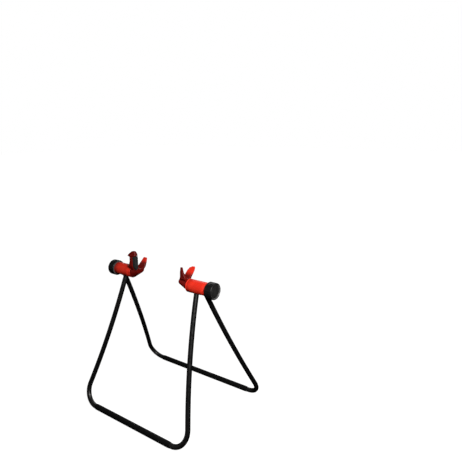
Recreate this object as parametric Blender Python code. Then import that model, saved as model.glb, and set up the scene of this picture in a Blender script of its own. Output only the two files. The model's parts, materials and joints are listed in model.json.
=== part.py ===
"""Folding bike repair stand.

Two bent steel tube frames cross under a pair of red heads. The heads face each other over the
rear wheel's axle line: each has a barrel that holds the tops of the legs, an open claw that the
hub rests in, and a black knob that screws the claw towards the wheel or away from it.

Axes: +X runs along the axle line, +Y towards the rear frame, +Z up. The origin is on the floor
in the middle of the footprint. Lengths are in metres.
"""
import math

import bmesh
import bpy
from mathutils import Matrix, Vector

MM = 0.001
GAP = 0.3 * MM                      # clearance between pieces that touch

# ---- driving dimensions: the whole stand ----
PIVOT_HEIGHT = 360.0 * MM           # axis that both frames and both heads share
TUBE_RADIUS = 6.35 * MM             # half-inch steel tube
TUBE_WALL = 1.2 * MM
TUBE_SIDES = 16
ROUND_SIDES = 32

# ---- floor sleeves ----
SLEEVE_FLAT = 7.3 * MM              # bar centre to the flat tread on the floor
SLEEVE_BORE = TUBE_RADIUS / math.cos(math.pi / TUBE_SIDES) + GAP
SLEEVE_END_GAP = 1.0 * MM           # left between a sleeve and the bend beside it
SLEEVE_TAPER = 6.0 * MM             # length over which a sleeve thins out at each end
SLEEVE_THINNING = 0.4 * MM

# ---- frames: half width at the pivot, half width at the floor, bend radius, tilt, bow share ----
FRONT = {"top": 125.0 * MM, "bottom": 188.8 * MM, "bend": 40.7 * MM,
         "tilt": math.radians(20.52), "bow": 0.43}
REAR = {"top": 144.3 * MM, "bottom": 213.8 * MM, "bend": 37.9 * MM,
        "tilt": math.radians(24.43), "bow": 0.51}
LEG_OVER_PIVOT = 8.6 * MM           # leg end above the pivot axis
LEG_STRAIGHT = 18.0 * MM            # straight stretch below the pivot axis
FOLD_ANGLE = math.radians(43.2)     # from standing to folded flat

BAR_DROP = PIVOT_HEIGHT - SLEEVE_FLAT
FRONT_REACH = BAR_DROP * math.tan(FRONT["tilt"])
REAR_REACH = BAR_DROP * math.tan(REAR["tilt"])
PIVOT = Vector((0.0, (FRONT_REACH - REAR_REACH) / 2, PIVOT_HEIGHT))

# ---- heads: places along X are distances from the middle of the stand ----
BARREL_START = 98.0 * MM
BARREL_END = 159.2 * MM
BARREL_EDGE = 1.0 * MM
BARREL_RADIUS = 16.8 * MM
BARREL_BORE = 13.0 * MM
PIVOT_SLEEVE_RADIUS = 4.2 * MM
PIVOT_SLEEVE_START = 117.8 * MM
PIVOT_SLEEVE_END = 151.3 * MM
BOLT_RADIUS = 3.0 * MM              # M6 clamp bolt, pitch 1 mm
BOLT_HEAD_START = 94.0 * MM
BOLT_HEAD_END = 98.0 * MM
BOLT_HEAD_RADIUS = 5.77 * MM        # hexagon, 10 mm across flats
BOLT_END = 172.0 * MM
SPIGOT_RADIUS = BARREL_BORE - GAP
SPIGOT_END = 112.0 * MM
KEY_HALF_WIDTH = 1.5 * MM
KEY_HEIGHT = 13.9 * MM
INSERT_RADIUS = 5.5 * MM
INSERT_COLLAR_RADIUS = 8.0 * MM
INSERT_START = 151.6 * MM
INSERT_COLLAR_END = 153.2 * MM
INSERT_END = 175.5 * MM
BEARING_START = INSERT_COLLAR_END + GAP
BEARING_END = 157.9 * MM
WASHER_START = BEARING_END + GAP
WASHER_END = 159.4 * MM
KNOB_START = WASHER_END + GAP
KNOB_END = 179.8 * MM
KNOB_RADIUS = 20.8 * MM
KNOB_RIM = 1.4 * MM                 # size of the rounded edges
KNOB_FLUTES = 24
KNOB_FLUTE_DEPTH = 0.4 * MM
COVER_RADIUS = 16.4 * MM
COVER_START = 176.1 * MM            # the cover lies at the bottom of a shallow recess
COVER_END = 177.4 * MM
SCREW_HEAD_RADIUS = 3.2 * MM
SCREW_SHANK_RADIUS = 1.75 * MM
SCREW_TIP = 5.0 * MM                # shank end, measured from the pivot axis
SCREW_SEAT = BARREL_RADIUS + 0.1 * MM
SCREW_HEAD_HEIGHT = 1.6 * MM

# ---- claws ----
CLAW_ROOT = BARREL_START - GAP      # face against the barrel
CLAW_TIP_X = 74.5 * MM              # inner end, nearest the wheel


def clear_scene():
    for thing in list(bpy.data.objects):
        bpy.data.objects.remove(thing, do_unlink=True)


def material(name, colour, roughness, metallic=0.0):
    surface = bpy.data.materials.new(name)
    surface.use_nodes = True
    shader = surface.node_tree.nodes["Principled BSDF"]
    shader.inputs["Base Color"].default_value = (*colour, 1.0)
    shader.inputs["Roughness"].default_value = roughness
    shader.inputs["Metallic"].default_value = metallic
    surface.diffuse_color = (*colour, 1.0)
    return surface


def add_object(name, shape, surface, parent=None, smooth_below=40.0):
    """Turn a bmesh into a named object, with normals outward and round faces smooth."""
    bmesh.ops.recalc_face_normals(shape, faces=shape.faces)
    mesh = bpy.data.meshes.new(name)
    shape.to_mesh(mesh)
    shape.free()
    mesh.shade_smooth()
    mesh.set_sharp_from_angle(angle=math.radians(smooth_below))
    thing = bpy.data.objects.new(name, mesh)
    bpy.context.collection.objects.link(thing)
    if surface is not None:
        mesh.materials.append(surface)
    thing.parent = parent
    return thing


def add_empty(name, place):
    anchor = bpy.data.objects.new(name, None)
    anchor.location = place
    anchor.empty_display_size = 0.02
    bpy.context.collection.objects.link(anchor)
    return anchor


def helper(name, shape, parent=None):
    """An object that only cuts or joins another one."""
    thing = add_object(name, shape, None, parent)
    thing.hide_render = True
    thing.display_type = "WIRE"
    return thing


def combine(thing, other, operation):
    change = thing.modifiers.new(other.name, "BOOLEAN")
    change.operation = operation
    change.object = other
    change.solver = "EXACT"


# ---- shapes ----

def loft(shape, rings, capped=True):
    """Join rings that have the same number of points, with a flat face on each end."""
    loops = [[shape.verts.new(point) for point in ring] for ring in rings]
    for first, second in zip(loops, loops[1:]):
        count = len(first)
        for i in range(count):
            j = (i + 1) % count
            shape.faces.new((first[i], first[j], second[j], second[i]))
    if capped:
        shape.faces.new(loops[0])
        shape.faces.new(list(reversed(loops[-1])))
    return loops


def join_loops(shape, first, second):
    count = len(first)
    for i in range(count):
        j = (i + 1) % count
        shape.faces.new((first[i], first[j], second[j], second[i]))


def circle(centre, across, up, radius, sides, turn=0.5):
    """Points of a circle; a turn of 0.5 puts a flat, not a corner, on each axis."""
    points = []
    for i in range(sides):
        angle = 2.0 * math.pi * (i + turn) / sides
        points.append(centre + across * (radius * math.cos(angle)) + up * (radius * math.sin(angle)))
    return points


def pipe(outer, inner):
    """A hollow run between two sets of rings."""
    shape = bmesh.new()
    skin = loft(shape, outer, capped=False)
    bore = loft(shape, inner, capped=False)
    join_loops(shape, skin[0], bore[0])
    join_loops(shape, skin[-1], bore[-1])
    return shape


def turned(profile, sides=ROUND_SIDES, side=1):
    """Spin a closed outline of (distance along X, radius) points about the X axis."""
    shape = bmesh.new()
    start = [shape.verts.new((side * x, 0.0, radius)) for x, radius in profile]
    edges = [shape.edges.new((a, b)) for a, b in zip(start, start[1:] + start[:1])]
    bmesh.ops.spin(shape, geom=start + edges, cent=(0.0, 0.0, 0.0), axis=(1.0, 0.0, 0.0),
                   angle=2.0 * math.pi, steps=sides, use_merge=True)
    bmesh.ops.remove_doubles(shape, verts=shape.verts, dist=0.01 * MM)
    return shape


def bar(start, end, radius, sides=ROUND_SIDES, side=1):
    """A plain round bar along X."""
    shape = bmesh.new()
    across, up = Vector((0, 1, 0)), Vector((0, 0, 1))
    rings = [circle(Vector((side * x, 0, 0)), across, up, radius, sides) for x in (start, end)]
    loft(shape, rings)
    return shape


def ring(start, end, bore, radius, side, sides=ROUND_SIDES):
    return turned([(start, bore), (start, radius), (end, radius), (end, bore)], sides, side)


def block(low, high):
    shape = bmesh.new()
    bmesh.ops.create_cube(shape, size=1.0)
    size = Vector(high) - Vector(low)
    bmesh.ops.transform(shape, verts=shape.verts,
                        matrix=Matrix.Translation((Vector(low) + Vector(high)) / 2)
                        @ Matrix.Diagonal((*size, 1.0)))
    return shape


# ---- frames ----

def leg_length(frame):
    return BAR_DROP / math.cos(frame["tilt"])


def leg_offset(frame, below):
    """Half width of a frame at a distance below the pivot axis, along its plane."""
    if below <= LEG_STRAIGHT:
        return frame["top"]
    share = (below - LEG_STRAIGHT) / (leg_length(frame) - LEG_STRAIGHT)
    spread = frame["bottom"] - frame["top"]
    return frame["top"] + spread * (frame["bow"] * share + (1.0 - frame["bow"]) * share * share)


def frame_path(frame, leg_steps=9, bend_steps=7):
    """Centre line of half a frame in its own plane, from a leg's end to the middle of the bar."""
    length = leg_length(frame)
    bend = frame["bend"]
    slope = (leg_offset(frame, length) - leg_offset(frame, length - bend)) / bend
    lean = math.atan(slope)
    turn = math.pi / 2 + lean                       # the bend turns the leg into the bar
    setback = bend * math.tan(turn / 2)
    corner = leg_offset(frame, length)
    bend_top = length - setback * math.cos(lean)
    points = [(frame["top"], -LEG_OVER_PIVOT), (frame["top"], LEG_STRAIGHT)]
    for i in range(1, leg_steps + 1):
        below = LEG_STRAIGHT + (bend_top - LEG_STRAIGHT) * i / leg_steps
        points.append((leg_offset(frame, below), below))
    centre = (corner - setback, length - bend)
    for i in range(1, bend_steps + 1):
        angle = lean * (1 - i / bend_steps) - (math.pi / 2) * i / bend_steps
        points.append((centre[0] + bend * math.cos(angle), centre[1] - bend * math.sin(angle)))
    return points


def frame_tube(name, frame, surface, parent):
    """One bent tube, open at both ends, made in its own plane and then tilted."""
    half = frame_path(frame)
    line = [Vector((x, 0.0, -z)) for x, z in half]
    line += [Vector((-x, 0.0, -z)) for x, z in reversed(half)]
    forward = Vector((0.0, 1.0, 0.0))
    outer, inner = [], []
    for i, point in enumerate(line):
        before = (point - line[max(i - 1, 0)]).normalized()
        after = (line[min(i + 1, len(line) - 1)] - point).normalized()
        along = (before + after).normalized()
        across = along.cross(forward)
        outer.append(circle(point, across, forward, TUBE_RADIUS, TUBE_SIDES))
        inner.append(circle(point, across, forward, TUBE_RADIUS - TUBE_WALL, TUBE_SIDES))
    thing = add_object(name, pipe(outer, inner), surface, parent)
    for side, label in ((-1, "left"), (1, "right")):
        reach = TUBE_RADIUS * 2
        hole = bar(frame["top"] - reach, frame["top"] + reach, PIVOT_SLEEVE_RADIUS + GAP, 16, side)
        combine(thing, helper(f"{name}_{label}_pivot_hole", hole, parent), "DIFFERENCE")
    return thing


def bar_half_length(frame):
    """Half of the straight stretch on the floor."""
    return frame_path(frame)[-1][0]


def floor_sleeve(name, frame, reach, surface, parent):
    """Anti-slip sleeve with a flat tread, round the straight stretch of a floor bar."""
    half = bar_half_length(frame) - SLEEVE_END_GAP
    radius = SLEEVE_FLAT / math.cos(math.pi / TUBE_SIDES)
    across, up = Vector((0, 1, 0)), Vector((0, 0, 1))
    stations = ((-half, radius - SLEEVE_THINNING), (-half + SLEEVE_TAPER, radius),
                (half - SLEEVE_TAPER, radius), (half, radius - SLEEVE_THINNING))
    outer = [circle(Vector((x, 0, 0)), across, up, r, TUBE_SIDES) for x, r in stations]
    inner = [circle(Vector((x, 0, 0)), across, up, SLEEVE_BORE, TUBE_SIDES) for x, r in stations]
    thing = add_object(name, pipe(outer, inner), surface, parent)
    thing.location = (0.0, reach, -BAR_DROP)
    return thing


# ---- heads ----

def leg_slot(frame, fold, side, name, parent):
    """Cutter for the room that a leg needs in the underside of a barrel."""
    half = TUBE_RADIUS + 1.5 * GAP
    depth = BARREL_RADIUS * 1.6
    shape = bmesh.new()
    rings = []
    for x in (frame["top"] - half, frame["top"] + half):
        points = []
        for tilt, edge in ((frame["tilt"], 1.0), (frame["tilt"] - fold, -1.0)):
            down = Vector((0.0, math.sin(tilt), -math.cos(tilt)))
            across = Vector((0.0, math.cos(tilt), math.sin(tilt)))
            pair = [across * (edge * half), across * (edge * half) + down * depth]
            points += pair if edge > 0 else list(reversed(pair))
        rings.append([point + Vector((side * x, 0, 0)) for point in points])
    loft(shape, rings)
    return helper(name, shape, parent)


def leg_hole(frame, side, name, parent, radius):
    """Cutter for a leg that stays fixed in a barrel."""
    down = Vector((0.0, -math.sin(frame["tilt"]), -math.cos(frame["tilt"])))
    across = Vector((1.0, 0.0, 0.0))
    shape = bmesh.new()
    centre = Vector((side * frame["top"], 0.0, 0.0))
    rings = [circle(centre + down * depth, across, down.cross(across), radius, TUBE_SIDES)
             for depth in (0.5 * BARREL_BORE, 1.6 * BARREL_RADIUS)]
    loft(shape, rings)
    return helper(name, shape, parent)


def screw_direction():
    """A leg screw goes in from behind, square to the front leg."""
    return Vector((0.0, math.cos(FRONT["tilt"]), -math.sin(FRONT["tilt"])))


def screw_line(side, stations, sides=12):
    """Rings along the line of a leg screw, as (distance from the pivot axis, radius)."""
    outward = screw_direction()
    across = Vector((1.0, 0.0, 0.0))
    up = outward.cross(across)
    centre = Vector((side * FRONT["top"], 0.0, 0.0))
    shape = bmesh.new()
    loft(shape, [circle(centre + outward * d, across, up, r, sides) for d, r in stations])
    return shape


def add_barrel(label, side, surface, parent):
    edge = BARREL_EDGE
    profile = [(BARREL_START, BARREL_BORE), (BARREL_START, BARREL_RADIUS - edge),
               (BARREL_START + edge, BARREL_RADIUS), (BARREL_END - edge, BARREL_RADIUS),
               (BARREL_END, BARREL_RADIUS - edge), (BARREL_END, BARREL_BORE)]
    barrel = add_object(f"{label}_barrel", turned(profile, 40, side), surface, parent)
    rear_slot = leg_slot(REAR, FOLD_ANGLE, side, f"{label}_barrel_fold_slot", parent)
    combine(barrel, rear_slot, "DIFFERENCE")
    front_hole = leg_hole(FRONT, side, f"{label}_barrel_leg_hole", parent, TUBE_RADIUS + GAP)
    combine(barrel, front_hole, "DIFFERENCE")
    near, far = BARREL_BORE * 0.8, BARREL_RADIUS * 1.3
    screw_hole = screw_line(side, [(near, SCREW_SHANK_RADIUS + GAP), (far, SCREW_SHANK_RADIUS + GAP)])
    combine(barrel, helper(f"{label}_barrel_screw_hole", screw_hole, parent), "DIFFERENCE")
    width = KEY_HALF_WIDTH + GAP
    ends = sorted((side * (BARREL_START - edge), side * (SPIGOT_END + 3.0 * MM)))
    keyway = block((ends[0], -width, BARREL_BORE * 0.8), (ends[1], width, KEY_HEIGHT + GAP))
    combine(barrel, helper(f"{label}_barrel_keyway", keyway, parent), "DIFFERENCE")
    return barrel


def add_head_fittings(label, side, black, steel, screw, parent):
    """The pieces inside a barrel that stay with the front frame."""
    bore = BOLT_RADIUS + GAP
    sleeve = ring(PIVOT_SLEEVE_START, PIVOT_SLEEVE_END, bore, PIVOT_SLEEVE_RADIUS, side, 16)
    add_object(f"{label}_pivot_sleeve", sleeve, steel, parent)
    spacer = ring(FRONT["top"] + TUBE_RADIUS + GAP, REAR["top"] - TUBE_RADIUS - GAP,
                  PIVOT_SLEEVE_RADIUS + GAP, 9.0 * MM, side, 24)
    add_object(f"{label}_leg_spacer", spacer, black, parent)
    bearing = ring(BEARING_START, BEARING_END, INSERT_RADIUS + GAP, BARREL_BORE - GAP, side)
    add_object(f"{label}_knob_bearing", bearing, black, parent)
    washer = ring(WASHER_START, WASHER_END, INSERT_RADIUS + GAP, BARREL_BORE - 2 * GAP, side)
    add_object(f"{label}_thrust_washer", washer, steel, parent)
    stations = [(SCREW_TIP, SCREW_SHANK_RADIUS), (SCREW_SEAT, SCREW_SHANK_RADIUS),
                (SCREW_SEAT + 0.01 * MM, SCREW_HEAD_RADIUS),
                (SCREW_SEAT + 0.5 * SCREW_HEAD_HEIGHT, SCREW_HEAD_RADIUS),
                (SCREW_SEAT + SCREW_HEAD_HEIGHT, SCREW_HEAD_RADIUS * 0.6)]
    add_object(f"{label}_leg_screw", screw_line(side, stations), screw, parent)


def add_knob(label, side, black, steel, parent):
    """The knob with its threaded insert and end cover, on its own axis."""
    rim = KNOB_RIM
    recess = COVER_RADIUS + GAP
    floor = COVER_START - GAP
    bore = INSERT_RADIUS + GAP
    profile = [(KNOB_START, bore), (KNOB_START, KNOB_RADIUS - rim),
               (KNOB_START + rim, KNOB_RADIUS), (KNOB_END - 2 * rim, KNOB_RADIUS),
               (KNOB_END - 0.6 * rim, KNOB_RADIUS - 0.6 * rim), (KNOB_END, KNOB_RADIUS - 2 * rim),
               (KNOB_END, recess), (floor, recess), (floor, bore)]
    shape = turned(profile, KNOB_FLUTES * 2, side)
    for vert in shape.verts:
        radius = math.hypot(vert.co.y, vert.co.z)
        angle = math.atan2(vert.co.y, vert.co.z)
        step = round(angle * KNOB_FLUTES / math.pi)
        if radius > KNOB_RADIUS - 0.1 * MM and step % 2:
            scale = (radius - KNOB_FLUTE_DEPTH) / radius
            vert.co.y *= scale
            vert.co.z *= scale
    add_object(f"{label}_knob", shape, black, parent)
    insert = [(INSERT_START, BOLT_RADIUS + GAP), (INSERT_START, INSERT_COLLAR_RADIUS),
              (INSERT_COLLAR_END, INSERT_COLLAR_RADIUS), (INSERT_COLLAR_END, INSERT_RADIUS),
              (INSERT_END, INSERT_RADIUS), (INSERT_END, BOLT_RADIUS + GAP)]
    add_object(f"{label}_knob_insert", turned(insert, 24, side), steel, parent)
    cover = bmesh.new()
    across, up = Vector((0, 1, 0)), Vector((0, 0, 1))
    stations = ((COVER_START, COVER_RADIUS), (COVER_END - 0.4 * MM, COVER_RADIUS),
                (COVER_END, COVER_RADIUS - 0.8 * MM))
    loft(cover, [circle(Vector((side * x, 0, 0)), across, up, r, ROUND_SIDES) for x, r in stations])
    add_object(f"{label}_knob_cover", cover, black, parent)


def add_clamp_bolt(label, side, steel, parent):
    shape = bmesh.new()
    across, up = Vector((0, 1, 0)), Vector((0, 0, 1))
    head = [circle(Vector((side * x, 0, 0)), across, up, BOLT_HEAD_RADIUS, 6)
            for x in (BOLT_HEAD_START, BOLT_HEAD_END)]
    loft(shape, head)
    bolt = add_object(f"{label}_clamp_bolt", shape, steel, parent)
    shank = bar(BOLT_HEAD_END - 1.0 * MM, BOLT_END, BOLT_RADIUS, 16, side)
    combine(bolt, helper(f"{label}_clamp_bolt_shank", shank, parent), "UNION")


# ---- claws ----
# A claw is a band swept along an open U in the YZ plane: a front horn, an arc that the hub sits in
# and a rear horn. Each horn is a list of stations from its root to its tip: share of the horn's
# length, then thickness and the band's two edges along X, in millimetres. The arc is a list of
# degrees round it and the band's inner edge; the stretch from 255 to 285 degrees is level.

RIGHT_CLAW = {
    "front_y": -10.5 * MM, "arc_radius": 9.5 * MM, "arc_z": 22.0 * MM,
    "front_length": 24.7 * MM, "rear_length": 35.5 * MM, "seat_thickness": 9.0 * MM,
    "front_horn": ((0.0, 6.4, 79.5, 97.0), (0.22, 6.0, 79.5, 93.5), (0.42, 5.6, 79.5, 90.0),
                   (0.7, 5.2, 80.5, 88.0), (1.0, 4.2, 81.5, 87.0)),
    "arc": ((180.0, 79.5), (195.0, 78.5), (225.0, 76.5), (255.0, 76.0), (285.0, 76.5),
            (310.0, 76.5)),
    "rear_horn": ((0.0, 8.0, 76.5, 97.0), (0.3, 6.4, 76.0, 96.0), (0.6, 5.0, 75.5, 95.5),
                  (0.85, 4.4, 78.0, 94.0), (1.0, 3.2, 84.5, 91.5)),
    "root_radius": 14.6 * MM, "base_y": -1.5 * MM, "base_z": 9.0 * MM,
    "base_half_width": 13.0 * MM, "base_half_height": 9.0 * MM, "slant": 0.0, "ridges": 0}
LEFT_CLAW = {
    "front_y": -11.5 * MM, "arc_radius": 17.0 * MM, "arc_z": 22.5 * MM,
    "front_length": 40.0 * MM, "rear_length": 23.5 * MM, "seat_thickness": 9.0 * MM,
    "front_horn": ((0.0, 11.0, 84.0, 97.0), (0.3, 11.0, 84.0, 93.0), (0.62, 11.0, 84.0, 92.5),
                   (0.67, 11.0, 74.5, 98.0), (0.8, 10.0, 74.5, 95.5), (0.9, 8.0, 76.0, 91.0),
                   (1.0, 5.0, 78.0, 86.0)),
    "arc": ((180.0, 84.0), (195.0, 84.0), (212.0, 84.0), (217.0, 74.5), (235.0, 74.5),
            (255.0, 74.5), (285.0, 74.5), (330.0, 74.5)),
    "rear_horn": ((0.0, 6.8, 74.5, 97.0), (0.5, 5.6, 75.5, 92.5), (1.0, 3.6, 78.0, 89.0)),
    "root_radius": BARREL_RADIUS - GAP, "base_y": 4.0 * MM, "base_z": 6.0 * MM,
    "base_half_width": 13.0 * MM, "base_half_height": 7.5 * MM, "slant": 0.28, "ridges": 4}
RIDGE_HEIGHT = 1.4 * MM
RIDGE_START = 0.67                  # share of the front horn's length below the first ridge
FACING_TOP = 0.625                  # share of the front horn's length that the facing covers
FACING_END = 212.0                  # place along the arc where the facing ends, in degrees
FACING_LEAST = 5.0 * MM             # room along X that a facing needs
PEG_RADIUS = 2.0 * MM
PEG_DEPTH = 5.0 * MM
PEG_HEIGHT = 0.15                   # share of the front horn's length below the peg
FOOT_INSET = 0.6 * MM               # the base under the U stops this far short of the U's end


def between(stations, share):
    """Thickness and edges at a share of a horn's length, in metres."""
    for first, second in zip(stations, stations[1:]):
        if share <= second[0]:
            mix = (share - first[0]) / (second[0] - first[0])
            return [(a + (b - a) * mix) * MM for a, b in zip(first[1:], second[1:])]
    return [value * MM for value in stations[-1][1:]]


def place(centre, inward, edges, covered, ridge=0.0, slant=0.0):
    thickness, near, far = edges
    return {"centre": centre, "inward": inward, "thickness": thickness, "near": near, "far": far,
            "covered": covered, "ridge": ridge, "slant": slant}


def claw_stations(claw):
    """Places along the U, from the front horn's tip to the rear horn's tip."""
    marks = {}
    count = 2 * claw["ridges"]
    for i in range(count):
        marks[RIDGE_START + (1.0 - RIDGE_START) * i / count] = i % 2
    shares = sorted({station[0] for station in claw["front_horn"]} | set(marks))
    places = []
    for share in reversed(shares[1:]):
        centre = Vector((0.0, claw["front_y"], claw["arc_z"] + share * claw["front_length"]))
        places.append(place(centre, Vector((0, 1, 0)), between(claw["front_horn"], share),
                            share <= FACING_TOP, RIDGE_HEIGHT * marks.get(share, 0), claw["slant"]))
    middle = Vector((0.0, claw["front_y"] + claw["arc_radius"], claw["arc_z"]))
    root = between(claw["front_horn"], 0.0)
    far = between(claw["rear_horn"], 0.0)
    last = claw["arc"][-1][0]
    for degrees, near in claw["arc"]:
        angle = math.radians(degrees)
        outward = Vector((0.0, math.cos(angle), math.sin(angle)))
        thickness = claw["seat_thickness"]
        if degrees == claw["arc"][0][0]:
            thickness = root[0]
        if degrees == last:
            thickness = far[0]
        fade = max(0.0, 1.0 - (degrees - 180.0) / 60.0)
        places.append(place(middle + outward * claw["arc_radius"], -outward,
                            (thickness, near * MM, root[2]), degrees <= FACING_END,
                            slant=claw["slant"] * fade))
    end = math.radians(last)
    start = middle + Vector((0.0, math.cos(end), math.sin(end))) * claw["arc_radius"]
    along = Vector((0.0, -math.sin(end), math.cos(end)))
    inward = Vector((0.0, -math.cos(end), -math.sin(end)))
    for share, *_ in claw["rear_horn"][1:]:
        centre = start + along * (share * claw["rear_length"])
        places.append(place(centre, inward, between(claw["rear_horn"], share), False))
    return places


def band(places, side):
    """Loft a chamfered strip through the places; a slant moves its inner edge rearward."""
    middle = (CLAW_TIP_X + CLAW_ROOT) / 2
    rings = []
    for spot in places:
        near, far, inner = spot["near"], spot["far"], spot["thickness"] / 2
        outer = inner + spot["ridge"]
        cut = min(outer + inner, far - near) * 0.22
        corners = ((near + cut, -outer), (far - cut, -outer), (far, cut - outer), (far, inner - cut),
                   (far - cut, inner), (near + cut, inner), (near, inner - cut), (near, cut - outer))
        rings.append([spot["centre"] + spot["inward"] * depth
                      + Vector((side * x, spot["slant"] * (middle - x), 0.0)) for x, depth in corners])
    shape = bmesh.new()
    loft(shape, rings)
    return shape


def claw_channel(claw, side):
    """Cutter that keeps a claw's base out of the space between the horns."""
    lift = 0.02 * MM
    inside = [spot["centre"] + spot["inward"] * (spot["thickness"] / 2 + lift)
              for spot in claw_stations(claw) if spot["centre"].z < claw["arc_z"] + 0.1 * MM]
    rings = [[point + Vector((side * x, 0, 0)) for point in inside]
             for x in (CLAW_TIP_X - 5.0 * MM, CLAW_ROOT + 5.0 * MM)]
    shape = bmesh.new()
    loft(shape, rings)
    return shape


def claw_base(claw, side):
    """Loft from the barrel's end to the smaller inner end of a claw."""
    across, up = Vector((0, 1, 0)), Vector((0, 0, 1))
    root = claw["root_radius"]
    shape = bmesh.new()
    stations = ((CLAW_ROOT, 0.0, 0.0, root, root),
                (CLAW_TIP_X + FOOT_INSET, claw["base_y"], claw["base_z"],
                 claw["base_half_width"], claw["base_half_height"]))
    rings = []
    for x, y, z, wide, high in stations:
        rings.append([Vector((side * x, y + point.y * wide, z + point.z * high))
                      for point in circle(Vector(), across, up, 1.0, 28)])
    loft(shape, rings)
    return shape


def peg(claw, side, start, end, radius):
    """Round peg that holds the rubber facing to a front horn."""
    shape = bar(start, end, radius, 16, side)
    height = claw["arc_z"] + PEG_HEIGHT * claw["front_length"]
    bmesh.ops.translate(shape, verts=shape.verts, vec=Vector((0.0, claw["front_y"], height)))
    return shape


def add_claw(label, side, claw, surface, parent):
    thing = add_object(f"{label}_claw", band(claw_stations(claw), side), surface, parent)
    foot = helper(f"{label}_claw_base", claw_base(claw, side), parent)
    combine(foot, helper(f"{label}_claw_channel", claw_channel(claw, side), parent), "DIFFERENCE")
    combine(thing, foot, "UNION")
    spigot = bar(CLAW_ROOT - 2.0 * MM, SPIGOT_END, SPIGOT_RADIUS, ROUND_SIDES, side)
    combine(thing, helper(f"{label}_claw_spigot", spigot, parent), "UNION")
    ends = sorted((side * (CLAW_ROOT - 0.5 * MM), side * (SPIGOT_END - 1.0 * MM)))
    key = block((ends[0], -KEY_HALF_WIDTH, SPIGOT_RADIUS * 0.8), (ends[1], KEY_HALF_WIDTH, KEY_HEIGHT))
    combine(thing, helper(f"{label}_claw_key", key, parent), "UNION")
    pocket = bmesh.new()
    across, up = Vector((0, 1, 0)), Vector((0, 0, 1))
    head = [circle(Vector((side * x, 0, 0)), across, up, BOLT_HEAD_RADIUS + 1.4 * GAP, 6)
            for x in (BOLT_HEAD_START - GAP, BOLT_HEAD_END + GAP)]
    loft(pocket, head)
    combine(thing, helper(f"{label}_claw_pocket", pocket, parent), "DIFFERENCE")
    bore = bar(BOLT_HEAD_END - 1.0 * MM, SPIGOT_END + 2.0 * MM, BOLT_RADIUS + GAP, 16, side)
    combine(thing, helper(f"{label}_claw_bore", bore, parent), "DIFFERENCE")
    if has_facing(claw):
        start = claw["arc"][0][1] * MM
        hole = peg(claw, side, start - MM, start + PEG_DEPTH + MM, PEG_RADIUS + GAP)
        combine(thing, helper(f"{label}_claw_peg_hole", hole, parent), "DIFFERENCE")


def has_facing(claw):
    """A claw has a facing where its front horn stops well short of the claw's inner end."""
    return claw["arc"][0][1] * MM > CLAW_TIP_X + FACING_LEAST


def add_claw_facing(label, side, claw, surface, parent):
    """Rubber facing on the front horn, held by a peg, flush with the claw's inner end."""
    places = [{**spot, "near": CLAW_TIP_X, "far": spot["near"] - GAP, "ridge": 0.0}
              for spot in claw_stations(claw) if spot["covered"]]
    thing = add_object(f"{label}_claw_facing", band(places, side), surface, parent)
    start = claw["arc"][0][1] * MM
    pin = peg(claw, side, start - 2.0 * MM, start + PEG_DEPTH, PEG_RADIUS)
    combine(thing, helper(f"{label}_facing_peg", pin, parent), "UNION")


def add_front_screw_holes(tube, parent):
    for side, label in ((-1, "left"), (1, "right")):
        radius = SCREW_SHANK_RADIUS + GAP
        hole = screw_line(side, [(0.6 * TUBE_RADIUS, radius), (1.6 * TUBE_RADIUS, radius)])
        combine(tube, helper(f"front_frame_{label}_screw_hole", hole, parent), "DIFFERENCE")


def build():
    clear_scene()
    tube_black = material("black_tube", (0.012, 0.012, 0.013), 0.35)
    rubber = material("sleeve_rubber", (0.016, 0.016, 0.017), 0.6)
    liner = material("liner_rubber", (0.01, 0.011, 0.012), 0.65)
    red = material("red_plastic", (0.80, 0.025, 0.012), 0.35)
    black = material("black_plastic", (0.014, 0.014, 0.015), 0.4)
    steel = material("zinc_steel", (0.55, 0.56, 0.57), 0.35, 1.0)
    screw = material("screw_steel", (0.05, 0.05, 0.05), 0.4, 1.0)

    base = add_empty("front_frame_axis", PIVOT)
    fold = add_empty("rear_frame_axis", PIVOT)
    front_tube = frame_tube("front_frame_tube", FRONT, tube_black, None)
    rear_tube = frame_tube("rear_frame_tube", REAR, tube_black, None)
    for tube, tilt, anchor in ((front_tube, -FRONT["tilt"], base), (rear_tube, REAR["tilt"], fold)):
        tube.parent = anchor
        tube.rotation_euler.x = tilt
        for change in tube.modifiers:
            change.object.parent = anchor
    add_front_screw_holes(front_tube, base)
    floor_sleeve("front_floor_sleeve", FRONT, -FRONT_REACH, rubber, base)
    floor_sleeve("rear_floor_sleeve", REAR, REAR_REACH, rubber, fold)

    for label, side, claw in (("left", -1, LEFT_CLAW), ("right", 1, RIGHT_CLAW)):
        add_barrel(label, side, red, base)
        add_head_fittings(label, side, black, steel, screw, base)
        knob_axis = add_empty(f"{label}_knob_axis", PIVOT)
        add_knob(label, side, black, steel, knob_axis)
        claw_axis = add_empty(f"{label}_claw_axis", PIVOT)
        add_claw(label, side, claw, red, claw_axis)
        add_clamp_bolt(label, side, steel, claw_axis)
        if has_facing(claw):
            add_claw_facing(label, side, claw, liner, claw_axis)


build()
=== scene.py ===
"""Looks of a folding bike repair stand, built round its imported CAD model.

The CAD nodes are the fixed frame. The pieces that show are rebuilt here as finer meshes that ride
on the same bodies: two bent and painted steel tubes with rubber floor sleeves, a pair of moulded
red barrels and claws, black fluted knobs with end covers, and the leg screws. The steel and
plastic pieces inside the heads stay as they are and get finished materials.

Axes: +X along the axle line, +Y towards the rear frame, +Z up. Lengths are in metres.
"""
import json
import math

import bmesh
import bpy
from mathutils import Matrix, Vector


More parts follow.
